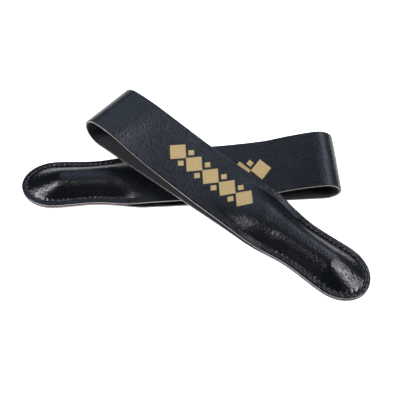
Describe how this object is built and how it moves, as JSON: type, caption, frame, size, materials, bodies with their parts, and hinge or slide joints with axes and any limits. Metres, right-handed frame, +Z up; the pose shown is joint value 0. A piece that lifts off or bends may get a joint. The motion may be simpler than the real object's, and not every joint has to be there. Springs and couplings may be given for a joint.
{
  "type": "pair of weighted leather damper straps",
  "caption": "Pair of folded leather loop straps, each with a stitched, weighted paddle end and a foil motif, one lying across the other.",
  "frame": {"origin": "bottom centre of the box round the two straps as they lie, on the surface they lie on", "axes": "+X along the lower strap from its pocket towards its fold, 3.5 degrees off its middle line; +Y towards the upper strap's fold; +Z up"},
  "size_m": [0.2078, 0.1412, 0.0325],
  "materials": {
    "black_leather": "smooth black vegetable-tanned leather, satin, with raw cut edges",
    "grey_felt": "pressed wool felt",
    "plated_steel": "tumbled, zinc plated",
    "black_thread": "waxed polyester thread",
    "gold_foil": "matt hot-stamped foil"
  },
  "bodies": {
    "lower_base": {"lower_bottom_leg": "black_leather"},
    "lower_pocket": {"lower_front_panel": "black_leather", "lower_back_panel": "black_leather", "lower_weight": "plated_steel", "lower_back_felt": "grey_felt", "lower_front_felt": "grey_felt", "lower_needle_thread": "black_thread", "lower_bobbin_thread": "black_thread"},
    "lower_loop": {"lower_top_leg": "black_leather", "lower_foil_motif": "gold_foil"},
    "upper_base": {"upper_bottom_leg": "black_leather"},
    "upper_pocket": {"upper_front_panel": "black_leather", "upper_back_panel": "black_leather", "upper_weight": "plated_steel", "upper_back_felt": "grey_felt", "upper_front_felt": "grey_felt", "upper_needle_thread": "black_thread", "upper_bobbin_thread": "black_thread"},
    "upper_loop": {"upper_top_leg": "black_leather", "upper_foil_motif": "gold_foil"}
  },
  "joints": [
    {"name": "lower_pocket_bend", "type": "hinge", "parent": "lower_base", "child": "lower_pocket", "pos_m": [-0.04397, 0.01174, 0.0082], "axis": [-0.061, 0.9981, 0], "range_deg": [0, 60]},
    {"name": "lower_loop_open", "type": "hinge", "parent": "lower_base", "child": "lower_loop", "pos_m": [-0.04397, 0.01174, 0.0082], "axis": [0.061, -0.9981, 0], "range_deg": [0, 6], "stiffness_Nm_per_rad": 0.03},
    {"name": "upper_lift_off", "type": "slide", "parent": "lower_loop", "child": "upper_base", "axis": [0, 0, 1], "range_m": [0, 0.1]},
    {"name": "upper_pocket_bend", "type": "hinge", "parent": "upper_base", "child": "upper_pocket", "pos_m": [0.05366, -0.02808, 0.01301], "axis": [-0.6157, -0.788, 0], "range_deg": [0, 60]},
    {"name": "upper_loop_open", "type": "hinge", "parent": "upper_base", "child": "upper_loop", "pos_m": [0.05366, -0.02808, 0.01301], "axis": [0.6157, 0.788, 0], "range_deg": [0, 6], "stiffness_Nm_per_rad": 0.03}
  ]
}
